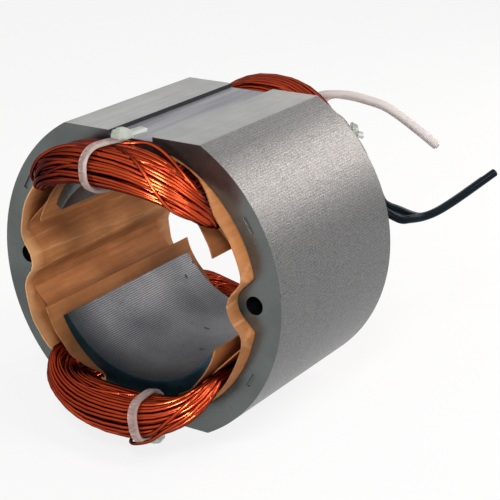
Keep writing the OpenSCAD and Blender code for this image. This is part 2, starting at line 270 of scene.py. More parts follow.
def steel_material():
    """Punched electrical sheet: dull grey end faces, and sheared edges with a line at each sheet; painted
    shade in the groove wall, screw holes, pressed marks, bore front and lower pole end, and painted glare on
    one side of the bore.
    """
    material, tree, shader = new_material("stacked_core_steel")
    place, cloud, speck = mottled(tree, 45.0, 2600.0)
    x, y, z = add_node(tree, "ShaderNodeSeparateXYZ", {0: place}).outputs
    normal = add_node(tree, "ShaderNodeNewGeometry").outputs["True Normal"]
    facing = add_node(tree, "ShaderNodeSeparateXYZ", {0: normal}).outputs
    looks = [without_sign(tree, part) for part in facing]
    end_face = ramp(tree, looks[1], *FACES_END)
    outside = ramp(tree, without_sign(tree, z), *FLAT_HEIGHT)
    aside = without_sign(tree, x)
    on_flat = times(tree, ramp(tree, looks[2], *FACES_UP), outside)
    in_groove = times(tree, outside, ramp(tree, aside, *GROOVE_SIDE))
    on_shaded_groove_wall = times(tree, times(tree, ramp(tree, looks[0], *FACES_ASIDE), outside),
                           ramp(tree, aside, *SHADED_GROOVE_WALL_SIDE))
    radius = distance(tree, x, z)
    in_bore = ramp(tree, radius, *BORE_RADIUS)
    from_hole = distance(tree, maths(tree, "SUBTRACT", aside, SCREW_HOLE_X), z)
    in_hole = ramp(tree, from_hole, *SCREW_HOLE_RADIUS)
    on_shaded_low_pole = times(tree, ramp(tree, radius, *POLE_RADIUS), ramp(tree, z, *LOWER_HALF))
    in_shaded_mark = ramp(tree, without_sign(tree, y), *PRESSED_MARK_Y)
    around = maths(tree, "ARCTAN2", x, z)
    sheet = maths(tree, "DIVIDE", y, SHEET_PITCH)
    seam = stripes(tree, sheet, 0.28, 0.5)
    sheet_tone = add_node(tree, "ShaderNodeTexWhiteNoise", {"W": maths(tree, "FLOOR", sheet)},
                          noise_dimensions="1D").outputs["Value"]

    side = mix(tree, speck, *BARREL)
    side = mix(tree, times(tree, sheet_tone, 0.3), side, BARREL_SHEET)
    grind = stripes(tree, times(tree, around, GRIND_LINES), 0.1, 0.4)
    side = mix(tree, times(tree, grind, 0.26), side, BARREL_GRIND)
    flat = mix(tree, cloud, *FLAT)
    streak = noise(tree, drawn_out(tree, place, 0.05), 420.0, 3.0)
    flat = mix(tree, times(tree, ramp(tree, streak, 0.42, 0.7), 0.35), flat, FLAT_STREAK)
    side = mix(tree, on_flat, side, flat)
    side = mix(tree, in_groove, side, mix(tree, ramp(tree, streak, 0.35, 0.65), *GROOVE))
    # Painted shade: the groove wall is coloured near-black
    side = mix(tree, on_shaded_groove_wall, side, GROOVE_WALL_SHADE)

    bore = mix(tree, cloud, *BORE)
    # Painted shade: darker towards the front of the bore, next to the coil ends
    bore = mix(tree, times(tree, ramp(tree, y, *BORE_FRONT_SHADE_Y), 0.92), bore, BORE_FRONT_SHADE)
    hatch = stripes(tree, times(tree, around, HATCH_LINES), 0.2, 0.45)
    # Real tool marks, faded towards +x as painted glare
    hatch_depth_and_glare = ramp(tree, x, *HATCH_GLARE_FADE_X, 0.88, 0.4)
    bore = mix(tree, times(tree, hatch, hatch_depth_and_glare), bore, BORE_HATCH)
    pit = noise(tree, place, 310.0, 1.0)
    bore = mix(tree, ramp(tree, pit, 0.75, 0.78), bore, BORE_PIT)
    side = mix(tree, in_bore, side, bore)
    side = mix(tree, times(tree, seam, spread(tree, in_bore, 0.45, 0.8)), side, SEAM)
    # Painted shade: the screw holes' walls are coloured almost black
    side = mix(tree, in_hole, side, SCREW_HOLE_SHADE)

    end = mix(tree, cloud, *END_FACE)
    # Painted shade and reflection of the coil on the lower pole's end face
    end = mix(tree, on_shaded_low_pole, end, LOW_POLE_SHADE)
    # Painted shade: the floor of each pressed mark takes the darker end-face tone
    end = mix(tree, in_shaded_mark, end, END_FACE[0])
    side_rough = blend(tree, outside, spread(tree, speck, 0.38, 0.29), 0.58)
    rough = blend(tree, end_face, side_rough, spread(tree, cloud, 0.22, 0.32))
    paint(tree, shader, mix(tree, end_face, side, end), rough)
    relief = maths(tree, "SUBTRACT", speck, times(tree, seam, 1.5))
    bump(tree, shader, times(tree, relief, maths(tree, "SUBTRACT", 1.0, end_face)), 0.000035)
    inside = maths(tree, "MAXIMUM", in_bore, in_hole)
    feed(tree, shader.inputs["Metallic"], spread(tree, inside, 0.9, 0.35))
    set_plain(shader, Specular_IOR_Level=0.15)
    return material


def paper_material(name, light, dark, worn):
    """Insulation paper: long pressed fibres, clouds and stains of varnish, and pale worn creases; the stain
    mark also carries painted shade, and the crease mark painted light.
    """
    material, tree, shader = new_material(name)
    place, cloud, _ = mottled(tree, 70.0, 1200.0)
    colour = mix(tree, cloud, dark, light)
    fibre = noise(tree, drawn_out(tree, place, 0.08), 900.0, 3.0)
    colour = mix(tree, times(tree, ramp(tree, fibre, 0.35, 0.7), 0.4), colour, darker(dark, 0.75))
    band = noise(tree, drawn_out(tree, place, 0.06), 170.0, 3.0)
    colour = mix(tree, ramp(tree, band, 0.45, 0.68, 0.0, 0.6), colour, darker(dark, 0.55))
    # Pale worn creases and rims; on the left rim the pale band is partly painted light
    colour = mix(tree, ramp(tree, point_value(tree, "crease"), 0.1, 1.0, 0.0, 0.75), colour, worn)
    # Varnish stains, with painted shade on the lips under the coil and the cuff darker below the boss
    colour = mix(tree, point_value(tree, "stain"), colour, darker(dark, 0.2))
    paint(tree, shader, colour, ramp(tree, fibre, 0.3, 0.7, 0.6, 0.75))
    bump(tree, shader, fibre, 0.00004)
    set_plain(shader, Subsurface_Weight=0.12, Subsurface_Scale=0.001, Specular_IOR_Level=0.15)
    return material


def enamel_material():
    """Copper wire under red-brown enamel, darkened towards each wire's edges as seen: painted shade between
    the wires.
    """
    material, tree, shader = new_material("enamelled_copper")
    _, cloud, speck = mottled(tree, 140.0, 500.0)
    colour = mix(tree, cloud, (0.42, 0.045, 0.015), (0.58, 0.075, 0.022))
    edge = add_node(tree, "ShaderNodeLayerWeight", {"Blend": 0.5}).outputs["Facing"]
    # Painted shade: the colour goes almost black towards the wire's edges as seen, for the shade between
    # wires
    colour = mix(tree, ramp(tree, edge, 0.06, 0.54), colour, (0.012, 0.002, 0.003))
    paint(tree, shader, colour, spread(tree, speck, 0.16, 0.22))
    set_plain(shader, Metallic=0.8, Specular_IOR_Level=0.3, Specular_Tint=(0.8, 0.3, 0.12, 1))
    return material


def nylon_material():
    """Milky cable tie nylon, paler where it is thick."""
    material, tree, shader = new_material("tie_nylon")
    _, cloud, speck = mottled(tree, 220.0, 1800.0)
    colour = mix(tree, cloud, (0.54, 0.43, 0.40), (0.76, 0.68, 0.645))
    colour = mix(tree, point_value(tree, "head"), colour, (0.80, 0.84, 0.78))
    paint(tree, shader, colour, spread(tree, speck, 0.3, 0.42))
    bump(tree, shader, speck, 0.00001)
    set_plain(shader, Transmission_Weight=0.75, IOR=1.3)
    return material


def insulation_material(name, light, dark, rough, shine):
    """Extruded lead insulation, with a faintly uneven skin."""
    material, tree, shader = new_material(name)
    _, cloud, speck = mottled(tree, 120.0, 1500.0)
    paint(tree, shader, mix(tree, cloud, dark, light), spread(tree, speck, rough, rough + 0.12))
    bump(tree, shader, cloud, 0.000004)
    set_plain(shader, Specular_IOR_Level=shine)
    return material


def braid_material():
    """Varnished glass braid of the splice sleeves."""
    material, tree, shader = new_material("sleeve_braid")
    _, cloud, speck = mottled(tree, 90.0, 1300.0)
    colour = mix(tree, speck, (0.52, 0.43, 0.27), (0.70, 0.63, 0.46))
    paint(tree, shader, colour, spread(tree, cloud, 0.5, 0.65))
    bump(tree, shader, speck, 0.00004)
    return material


def tinned_copper_material():
    """Tinned strands at the cut ends of the leads."""
    material, tree, shader = new_material("tinned_copper")
    _, cloud, speck = mottled(tree, 400.0, 3000.0)
    colour = mix(tree, speck, (0.42, 0.39, 0.34), (0.62, 0.59, 0.53))
    paint(tree, shader, colour, spread(tree, cloud, 0.25, 0.4))
    set_plain(shader, Metallic=1.0)
    return material


STEEL = steel_material()
LINER_PAPER = paper_material("liner_paper", (0.70, 0.295, 0.108), (0.47, 0.18, 0.06), (0.78, 0.44, 0.21))
STRIP_PAPER = paper_material("strip_paper", (0.64, 0.265, 0.097), (0.44, 0.165, 0.055), (0.72, 0.45, 0.26))
ENAMEL = enamel_material()
NYLON = nylon_material()
WHITE_INSULATION = insulation_material(
    "white_insulation", (0.65, 0.595, 0.58), (0.58, 0.53, 0.515), rough=0.45, shine=0.15)
BLACK_INSULATION = insulation_material(
    "black_insulation", (0.003, 0.009, 0.013), (0.002, 0.006, 0.010), rough=0.22, shine=0.06)
BRAID = braid_material()
TINNED_COPPER = tinned_copper_material()


# Pieces

def add_piece(data, material, replaced=()):
    """Puts mesh or curve data in the scene as a piece of the stator, under its own name."""
    data.materials.append(material)
    made = bpy.data.objects.new(data.name, data)
    scene.collection.objects.link(made)
    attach(made, "root")
    if replaced:
        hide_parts(*replaced)
    return made


def mesh_of(name, points, faces):
    mesh = bpy.data.meshes.new(name)
    mesh.from_pydata([mm(p) for p in points], [], faces)
    mesh.update()
    mesh.polygons.foreach_set("use_smooth", [True] * len(mesh.polygons))
    return mesh


def turn_outward(mesh, sharp_angle, **marks):
    """Turns faces outward, keeps edges past an angle sharp, and stores marks at the mesh's points."""
    shape = bmesh.new()
    shape.from_mesh(mesh)
    bmesh.ops.recalc_face_normals(shape, faces=shape.faces[:])
    shape.to_mesh(mesh)
    shape.free()
    mesh.set_sharp_from_angle(angle=math.radians(sharp_angle))
    for label, values in marks.items():
        mesh.attributes.new(label, "FLOAT", "POINT").data.foreach_set("value", values)


def lengths_along(path):
    """Length of a path up to each of its points."""
    run = [0.0]
    for first, second in zip(path, path[1:]):
        run.append(run[-1] + (second - first).length)
    return run


def spaced(path, count, parts):
    """Points at the cuts of a path into equal parts, from its start, as many as counted."""
    run = lengths_along(path)
    even, place = [], 0
    for k in range(count):
        wanted = run[-1] * k / parts
        while place < len(path) - 2 and run[place + 1] < wanted:
            place += 1
        share = (wanted - run[place]) / (run[place + 1] - run[place])
        even.append(path[place].lerp(path[place + 1], min(max(share, 0), 1)))
    return even


CURVE_STEPS = 12


def curve_through(points, count):
    """Evenly spaced points on a smooth curve through the points given."""
    ends = [points[0] * 2 - points[1]] + points + [points[-1] * 2 - points[-2]]
    fine = []
    for k in range(1, len(ends) - 2):
        a, b, c, d = ends[k - 1:k + 3]
        for step in range(CURVE_STEPS):
            t = step / CURVE_STEPS
            fine.append(0.5 * (2 * b + (c - a) * t + (2 * a - 5 * b + 4 * c - d) * t ** 2
                               + (3 * b - a - 3 * c + d) * t ** 3))
    fine.append(points[-1])
    return spaced(fine, count, count - 1)


def ring_faces(rings, sides, closed, first_index=0):
    """Faces between rings of points; the last ring meets the first in a loop."""
    faces = []
    for k in range(rings if closed else rings - 1):
        here, there = first_index + k * sides, first_index + (k + 1) % rings * sides
        for j in range(sides):
            after = (j + 1) % sides
            faces.append((here + j, here + after, there + after, there + j))
    return faces


def tube_faces(points, radius, sides, closed, first_index=0):
    """Vertices and faces of a round tube along a path; its ends are closed unless it is a loop."""
    count = len(points)
    tangents = []
    for k in range(count):
        if closed:
            ahead = points[(k + 1) % count] - points[k - 1]
        else:
            ahead = points[min(k + 1, count - 1)] - points[max(k - 1, 0)]
        tangents.append(ahead.normalized())
    side = tangents[0].orthogonal().normalized()
    sides_at = [side]
    for tangent in tangents[1:]:
        side = (side - tangent * side.dot(tangent)).normalized()
        sides_at.append(side)
    twist = 0.0
    if closed:
        carried = (side - tangents[0] * side.dot(tangents[0])).normalized()
        twist = math.atan2(carried.cross(sides_at[0]).dot(tangents[0]), carried.dot(sides_at[0]))
    vertices = []
    for k in range(count):
        u = sides_at[k]
        w = tangents[k].cross(u)
        for j in range(sides):
            angle = 2 * math.pi * j / sides + twist * k / count
            vertices.append(points[k] + (u * math.cos(angle) + w * math.sin(angle)) * radius)
    faces = ring_faces(count, sides, closed, first_index)
    if not closed:
        last = first_index + (count - 1) * sides
        faces.append(tuple(first_index + j for j in reversed(range(sides))))
        faces.append(tuple(last + j for j in range(sides)))
    return vertices, faces


# Coil shape: the same strand function as the solids

END_Y = 28.25
NECK_X = 12.0
SLOT_R = 37.9
SHOE_Z = 4.31355
SHOE_R = 28.6692
LINED = 0.55
COIL_CLEAR = 0.35
SIDE_OUT_R = 37.0
SIDE_NECK_ANGLE = 67.0953
SIDE_MOUTH_ANGLE = 42.0
FRONT_RIGHT_MOUTH_ANGLE = 35.0
CLOSER_R = 32.4
CLOSER_ANGLE = 45.0
TURN_D = 10.25
TURN_HALF_D = 6.75
TURN_HALF_Z = 5.1
TURN_CORNER = 4.08
COIL_INNER = 28.8
REAR_LIFT = 1.0
PATH_POWER = 0.85
FRONT, REAR = -1, 1
RISE = {FRONT: 1.3, REAR: 2.2}
STRAIGHT_NECK = {FRONT: 1.2, REAR: 2.7}
STRAIGHT_MOUTH = 4.0
WIRE_D = 1.05


def power_of(x, power):
    return math.copysign(abs(x) ** power, x)


def mouth_angle(phi, end):
    """Slot angle of the outermost strands, which lie nearer the mouth at the front right."""
    return FRONT_RIGHT_MOUTH_ANGLE if end == FRONT and phi < 90 else SIDE_MOUTH_ANGLE


def side_place(a, b, mouth):
    """Place of a strand in the upper right slot, as x and z."""
    t = (a + 1) / 2
    degrees = SIDE_NECK_ANGLE * (1 - t) + mouth * t
    angle = math.radians(degrees)
    r = SHOE_R + LINED + COIL_CLEAR
    c = SHOE_Z * math.cos(angle)
    past_shoe = SHOE_Z * math.sin(angle) + math.sqrt(r * r - c * c)
    off_strip = math.radians(min(degrees, CLOSER_ANGLE) - CLOSER_ANGLE)
    past_strip = (CLOSER_R + COIL_CLEAR) / math.cos(off_strip)
    inner = max(past_shoe, past_strip)
    middle = ((SIDE_OUT_R + inner) + (SIDE_OUT_R - inner) * b) / 2
    return middle * math.cos(angle), middle * math.sin(angle)


def strand(a, b, phi, end):
    """Point of an upper coil's strand: phi is 0 at the right slot, 90 in mid turn, 180 at the left slot."""
    side_x, side_z = side_place(a, b, mouth_angle(phi, end))
    neck = STRAIGHT_NECK[end]
    straight = neck + (STRAIGHT_MOUTH - neck) * (a + 1) / 2
    reach = TURN_D + TURN_HALF_D * a - straight
    lift = REAR_LIFT if end == REAR else 0.0
    mid_z = COIL_INNER + TURN_HALF_Z * (1 + b) + lift
    sine = max(math.sin(math.radians(phi)), 0.0)
    return Vector((
        side_x * power_of(math.cos(math.radians(phi)), PATH_POWER),
        end * (END_Y + straight + reach * sine ** PATH_POWER),
        side_z + (mid_z - side_z) * sine ** RISE[end],
    ))


def section_at(t):
    """Point at share t of the section's outline, as a and b."""
    flat_b, flat_a = TURN_HALF_Z - TURN_CORNER, TURN_HALF_D - TURN_CORNER
    bend = math.pi / 2 * TURN_CORNER
    quarter = flat_b + bend + flat_a
    turns = 4 * (t % 1.0)
    part = int(turns)
    x = (turns - part) * quarter
    if part % 2 == 1:
        x = quarter - x
    if x < flat_b:
        d, z = TURN_HALF_D, x
    elif x > flat_b + bend:
        d, z = TURN_HALF_D - TURN_CORNER - (x - flat_b - bend), TURN_HALF_Z
    else:
        angle = (x - flat_b) / TURN_CORNER
        d, z = flat_a + TURN_CORNER * math.cos(angle), flat_b + TURN_CORNER * math.sin(angle)
    return (-1 if part in (1, 2) else 1) * d / TURN_HALF_D, (-1 if part > 1 else 1) * z / TURN_HALF_Z


def flipped(point, lower):
    return Vector((point.x, point.y, -point.z)) if lower else point


# Leads, as routes from their sleeves to the cut ends

LEADS = {
    "white_lead_a": [
        (8.632, 46.723, 33.453), (9.574, 46.602, 33.196), (11.5, 47.45, 34.1), (14, 48.25, 34.5),
        (19, 50.25, 34.5), (24, 51.75, 33.5), (29, 53.25, 32), (33, 54.75, 29.5), (38, 56.75, 25.5),
        (43.5, 59.25, 20.5),
    ],
    "white_lead_b": [
        (8.281, 46.723, 30.081), (9.186, 46.602, 29.878), (12.5, 50.55, 33.4), (17.5, 52.55, 33.4),
        (22.5, 54.05, 32.4), (27.5, 55.55, 30.9), (31.5, 57.05, 28.4), (36.5, 59.05, 24.4),
        (42.2, 61.65, 19.3),
    ],
    "black_lead_a": [
        (17.239, 44.167, 24.149), (17.837, 43.868, 23.878), (20.3, 43.55, 22.6), (24, 41.75, 20.6),
        (27.2, 39.45, 18), (30, 37.05, 15.2), (33.3, 35.85, 11.5), (36.5, 35.55, 8.5), (39.5, 36.25, 6.3),
        (42.5, 38.75, 4), (44, 41.75, 3.5), (45.5, 46.25, 3), (47.5, 51.25, 3.5), (49.5, 58.25, 5),
        (51.5, 65.25, 7), (55, 74.25, 10.5),
    ],
    "black_lead_b": [
        (18.432, 44.167, 27.883), (19.072, 43.868, 27.459), (21.8, 45.45, 24.6), (25.6, 44.45, 21.4),
        (29.2, 41.85, 18.8), (32, 39.65, 16.2), (34.9, 38.65, 12), (37.3, 38.55, 8), (40.2, 42.25, 5.4),
        (42, 45.75, 3.3), (43.8, 49.05, 2), (45.8, 53.85, 2.35), (47.8, 60.85, 3.85), (49.8, 67.85, 5.85),
        (51.9, 73.25, 7.95),
    ],
}
LEAD_D = {"white": 2.3, "black": 2.4}
LEAD_MATERIAL = {"white": WHITE_INSULATION, "black": BLACK_INSULATION}
LEAD_POINTS = 32
# Cut conductor: six fine wires round one, thick and apart by shares of the lead and of the wire
STRANDS_ROUND = 6
STRAND_BARE = 0.5
STRAND_UNEVEN = 0.25
STRAND_HELD = 0.6
STRAND_THICK = 0.085
STRAND_APART = 2.1
STRAND_SIDES = 8


def lead_strands(name, tip, ahead, diameter):
    """Cut conductor of a lead: seven fine wires that stand a little out of the insulation."""
    side = ahead.orthogonal().normalized()
    other = ahead.cross(side)
    fine = diameter * STRAND_THICK
    points, faces = [], []
    for k in range(STRANDS_ROUND + 1):
        angle = 2 * math.pi * k / STRANDS_ROUND
        shift = 0.0 if k == STRANDS_ROUND else STRAND_APART * fine
        root = tip + (side * math.cos(angle) + other * math.sin(angle)) * shift
        out = STRAND_BARE * (1 - STRAND_UNEVEN + STRAND_UNEVEN * math.cos(2.4 * k))
        path = [root - ahead * STRAND_HELD, root, root + ahead * out]
        more, more_faces = tube_faces(path, fine, STRAND_SIDES, False, len(points))
        points += more
        faces += more_faces
    mesh = mesh_of(name + "_strands", points, faces)
    return add_piece(mesh, TINNED_COPPER)


for lead_name, route in LEADS.items():
    tone = lead_name.split("_")[0]
    diameter = LEAD_D[tone]
    path = curve_through([Vector(p) for p in route], LEAD_POINTS)
    ahead = (path[-1] - path[-2]).normalized()
    path[-1] = path[-1] - ahead * STRAND_BARE
    data = bpy.data.curves.new(lead_name + "_cord", "CURVE")
    data.dimensions = "3D"
    data.bevel_depth = diameter / 2 * MM
    data.bevel_resolution = 5
    data.use_fill_caps = True
    data.resolution_u = 4
    spline = data.splines.new("BEZIER")
    spline.bezier_points.add(len(path) - 1)
    for knot, point in zip(spline.bezier_points, path):
        knot.co = mm(point)
        knot.handle_left_type = knot.handle_right_type = "AUTO"
    cord = add_piece(data, LEAD_MATERIAL[tone], [lead_name])
    strands = lead_strands(lead_name, path[-1], ahead, diameter)


# Coils, wire by wire

random.seed(7)
TURN_POINTS = 28
WIRE_SIDES = 8
# Layers of wire, from the skin in: number of wires, depth in the section, sway along the outline
WIRE_LAYERS = [(34, 0.915, 0.45), (27, 0.74, 0.7), (19, 0.52, 0.8)]
LAYER_SHIFT = 0.25
LAYER_DIP = 0.014
CROSSING_SWAY = 0.08
CROSSING_DEPTH = 0.965


def wander(reach, waves=5):
    """Slow wave round a whole turn of wire, as a function of the share of the turn."""
    parts = [(random.uniform(0.3, 1.0) * reach / (0.6 + 0.4 * k), k, random.uniform(0, 2 * math.pi))
             for k in range(1, waves + 1)]
    return lambda t: sum(size * math.sin(2 * math.pi * k * t + shift) for size, k, shift in parts)


def on_coil(phi, share, depth, end):
    """Point of a coil at an angle, a share of the section's outline and a depth, 1 at the skin."""
    outline_a, outline_b = section_at(share)
    return strand(outline_a * depth, outline_b * depth, phi, end)


def wire_turn(share, depth):
    """Path of one whole turn of wire, through both slots and across both ends."""
    angles = [90 * (1 - math.cos(math.pi * k / TURN_POINTS)) for k in range(TURN_POINTS + 1)]
    stops = [(phi, FRONT) for phi in angles] + [(phi, REAR) for phi in reversed(angles)]
    return [on_coil(phi, share(k / len(stops)), depth(k / len(stops)), end)
            for k, (phi, end) in enumerate(stops)]


# Loose wires on the front end turns, as (angle, share of the outline, depth)
LOOSE_UPPER = [
    [(100, 0.28, 0.85), (92, 0.31, 0.92), (84, 0.34, 1.0), (77.5, 0.36, 1.11), (64, 0.36, 1.3),
     (50, 0.35, 1.36), (36, 0.33, 1.3), (24, 0.28, 1.15), (12, 0.22, 1.0), (0, 0.2, 0.9)],
    [(115, 0.33, 0.85), (105, 0.31, 0.95), (96, 0.3, 0.98), (87.75, 0.27, 1.0), (75, 0.2, 1.0),
     (66, 0.13, 1.02), (56, 0.04, 1.0), (49, 0.975, 1.0), (40, 0.92, 1.0), (22, 0.88, 0.98),
     (0, 0.87, 0.9)],
    [(85, 0.22, 0.85), (105, 0.18, 0.96), (120, 0.15, 1.01), (135, 0.1, 1.05), (152, 0.04, 1.08),
     (166, 0.98, 1.05), (180, 0.95, 0.95)],
    [(80, 0.42, 0.85), (100, 0.42, 0.98), (115, 0.42, 1.03), (130, 0.4, 1.07), (150, 0.36, 1.08),
     (165, 0.3, 1.03), (180, 0.27, 0.92)],
    [(90, 0.06, 0.85), (110, 0.04, 0.96), (128, 0.02, 1.01), (145, 0.97, 1.04), (160, 0.92, 1.05),
     (172, 0.88, 1.0), (180, 0.86, 0.92)],
    [(95, 0.90, 0.85), (112, 0.90, 0.97), (130, 0.91, 1.06), (146, 0.91, 1.16), (160, 0.90, 1.22),
     (172, 0.88, 1.12), (180, 0.86, 0.9)],
    [(100, 0.84, 0.85), (118, 0.85, 0.98), (134, 0.86, 1.1), (149, 0.86, 1.26), (162, 0.85, 1.34),
     (173, 0.84, 1.18), (180, 0.82, 0.9)],
    [(105, 0.96, 0.85), (120, 0.95, 0.98), (136, 0.95, 1.07), (152, 0.94, 1.16), (164, 0.93, 1.17),
     (174, 0.92, 1.06), (180, 0.9, 0.9)],
    [(92, 0.78, 0.85), (114, 0.80, 0.97), (132, 0.81, 1.08), (148, 0.82, 1.26), (163, 0.81, 1.34),
     (174, 0.80, 1.15), (180, 0.78, 0.9)],
    [(98, 0.74, 0.85), (116, 0.76, 0.97), (134, 0.77, 1.07), (150, 0.77, 1.22), (163, 0.77, 1.28),
     (174, 0.76, 1.12), (180, 0.74, 0.9)],
    [(102, 0.87, 0.85), (118, 0.88, 0.98), (136, 0.89, 1.1), (152, 0.88, 1.28), (165, 0.87, 1.3),
     (174, 0.86, 1.14), (180, 0.84, 0.9)],
]
LOOSE_LOWER = [
    [(94, 0.13, 0.85), (84, 0.12, 0.95), (72, 0.1, 0.98), (61.75, 0.07, 1.0), (49.25, 0.0, 1.03),
     (33, 0.95, 1.07), (18, 0.93, 1.0), (0, 0.92, 0.92)],
    [(18, 0.04, 0.85), (30, 0.05, 0.96), (40, 0.06, 1.0), (54.5, 0.08, 1.03), (65.5, 0.12, 1.2),
     (76, 0.15, 1.27), (80.5, 0.2, 1.3), (79, 0.27, 1.22), (70, 0.3, 1.02), (60, 0.31, 0.85)],
]
LOOSE_POINTS = 40
TAIL_POINTS = 20

# Splice sleeves on the rear end turn: angles of the coil's end and the lead's end, and share of the height
SLEEVES = {
    "white_splice_a": (94, 76, -0.1), "white_splice_b": (94, 76, -0.8),
    "black_splice_a": (65, 51, -1.45), "black_splice_b": (65, 51, -0.35),
}
SLEEVE_D = 3.2
LEAD_CLEAR = 0.3
LAID_OUT = 1 + (SLEEVE_D / 2 + LEAD_CLEAR) / TURN_HALF_D
TAIL_LOWEST = -0.9
TAIL_HIGHEST = 0.6


def coil_tails():
    """Ends of the upper coil's wire, from the skin of the rear end turn into the splice sleeves."""
    tails = []
    for mouth, _, height in SLEEVES.values():
        root = max(min(height, TAIL_HIGHEST), TAIL_LOWEST)
        # Place across the section, share of the height, and degrees before the sleeve's mouth
        stops = [(0.8, root, 34), (0.98, root, 24), (1.16, 0.5 * (height + root), 12), (LAID_OUT, height, 3),
                 (LAID_OUT, height, -3)]
        tails.append([strand(a, b, mouth + away, REAR) for a, b, away in stops])
    return tails


def make_coil(name, node, lower, crossing_wires, loose, tails):
    points, faces = [], []

    def add_wire(path, closed):
        laid = [flipped(p, lower) for p in path]
        more, more_faces = tube_faces(laid, WIRE_D / 2, WIRE_SIDES, closed, len(points))
        points.extend(more)
        faces.extend(more_faces)

    for count, level, sway in WIRE_LAYERS:
        for k in range(count):
            drift, dip = wander(sway / count), wander(LAYER_DIP)
            start = (k + random.uniform(-LAYER_SHIFT, LAYER_SHIFT)) / count
            add_wire(wire_turn(lambda t: start + drift(t), lambda t: level + dip(t)), True)
    for k in range(crossing_wires):
        drift = wander(CROSSING_SWAY)
        start = (k + random.random()) / crossing_wires
        add_wire(wire_turn(lambda t: start + drift(t), lambda t: CROSSING_DEPTH), True)
    for stops in loose:
        add_wire(curve_through([on_coil(*stop, FRONT) for stop in stops], LOOSE_POINTS), False)
    for tail in tails:
        add_wire(curve_through(tail, TAIL_POINTS), False)
    return add_piece(mesh_of(name, points, faces), ENAMEL, [node])


make_coil("upper_coil_wires", "upper_field_coil", False, 9, LOOSE_UPPER, coil_tails())
make_coil("lower_coil_wires", "lower_field_coil", True, 4, LOOSE_LOWER, [])


# Braid of the splice sleeves

SLEEVE_RINGS = 28
SLEEVE_SIDES = 20
# Narrowing of the first rings from each end
SLEEVE_ENDS = [0.9, 0.97]
BRAID_DEPTH = 0.035
BRAID_TURNS = 5
BRAID_STRANDS = 5


def make_sleeve(name, first, last, height):
    """Braided sleeve: a tube with crossed strands in relief, drawn in a little at both ends."""
    path = [strand(LAID_OUT, height, first + (last - first) * k / (SLEEVE_RINGS - 1), REAR)
            for k in range(SLEEVE_RINGS)]
    points, faces = tube_faces(path, SLEEVE_D / 2, SLEEVE_SIDES, False)
    for k, centre in enumerate(path):
        from_end = min(k, SLEEVE_RINGS - 1 - k)
        narrow = SLEEVE_ENDS[from_end] if from_end < len(SLEEVE_ENDS) else 1.0
        along = 2 * math.pi * BRAID_TURNS * k / SLEEVE_RINGS
        for j in range(SLEEVE_SIDES):
            around = 2 * math.pi * j / SLEEVE_SIDES
            relief = math.sin(BRAID_STRANDS * around + along) * math.sin(BRAID_STRANDS * around - along)
            at = k * SLEEVE_SIDES + j
            size = narrow * (1 - BRAID_DEPTH + BRAID_DEPTH * relief)
            points[at] = centre + (points[at] - centre) * size
    return add_piece(mesh_of(name + "_braid", points, faces), BRAID, [name])


for sleeve_name, (first, last, height) in SLEEVES.items():
    make_sleeve(sleeve_name, first, last, height)


# Cable ties

TIE_W = 2.5
TIE_T = 1.0
TIE_CLEAR = 0.45
LEAN_CLEAR = 1.35
HEAD_L = 4.6
HEAD_W = 4.4
HEAD_H = 2.6
TAIL_L = 5.0
STUB_L = 1.8
LOOP_POINTS = 48
LOOP_REACH = 35
STRAP_RINGS = 168
RIB_DEPTH = 0.3
HALVINGS = 24
HEAD_STEP = 0.3
HEAD_EDGE = 0.5
HEAD_TAPER = 0.84
# Raised cap of the head, as shares of its height, length and width
CAP_LOW = (0.5, -0.2, -0.36)
CAP_HIGH = (1.0, 0.3, 0.36)
CAP_EDGE = 0.2
CAP_TAPER = 0.9
# Strap section from the inner face to the outer one, as shares of half its thickness and half its width
STRAP_EDGE = [(-1, 0.8), (-0.6, 1), (0.6, 1), (1, 0.8), (1, 0.66)]
TROUGH_W = 0.58
RIB_RINGS = 2
TAIL_EDGE = 0.25
# Ribs on the free tail: their number, first place and step as shares of the tail, and their size
TAIL_RIBS = 5
RIB_FROM = 0.12
RIB_STEP = 0.17
RIB_L = 0.4
RIB_W = 0.6
RIB_SUNK = 0.2
RIB_RISE = 0.12
RIB_EDGE = 0.1
TIE_SHARP_ANGLE = 35


def crossing(outline, end, centre, square_to, low, high):
    """Angle at which a strand crosses the plane of a tie."""
    for _ in range(HALVINGS):
        middle = (low + high) / 2
        if (strand(*outline, middle, end) - centre).dot(square_to) < 0:
            low = middle
        else:
            high = middle
    return (low + high) / 2


def tie_frame(phi, end, lean, twist):
    """Centre, axes and flat loop of a tie round an upper end turn."""
    centre = strand(0, 0, phi, end)
    ahead = strand(0, 0, phi + 1, end) - strand(0, 0, phi - 1, end)
    face = (strand(1, 0, phi, end) - strand(-1, 0, phi, end)).cross(
        strand(0, 1, phi, end) - strand(0, -1, phi, end))
    leaning = lean * math.copysign(1, face.dot(ahead))
    across = (ahead.normalized() + face.normalized() * leaning).normalized()
    polar = math.acos(across.z)
    around = math.atan2(across.y, across.x) + math.radians(twist)
    sin_p, cos_p = math.sin(polar), math.cos(polar)
    sin_a, cos_a = math.sin(around), math.cos(around)
    square_to = Vector((sin_p * cos_a, sin_p * sin_a, cos_p))
    axis_u = Vector((cos_p * cos_a, cos_p * sin_a, -sin_p))
    axis_v = Vector((-sin_a, cos_a, 0))
    loop = []
    for k in range(LOOP_POINTS):
        outline = section_at(k / LOOP_POINTS)
        at = crossing(outline, end, centre, square_to, max(phi - LOOP_REACH, 0), min(phi + LOOP_REACH, 180))
        p = strand(*outline, at, end) - centre
        loop.append(Vector((p.dot(axis_u), p.dot(axis_v))))
    return centre, axis_u, axis_v, square_to, loop


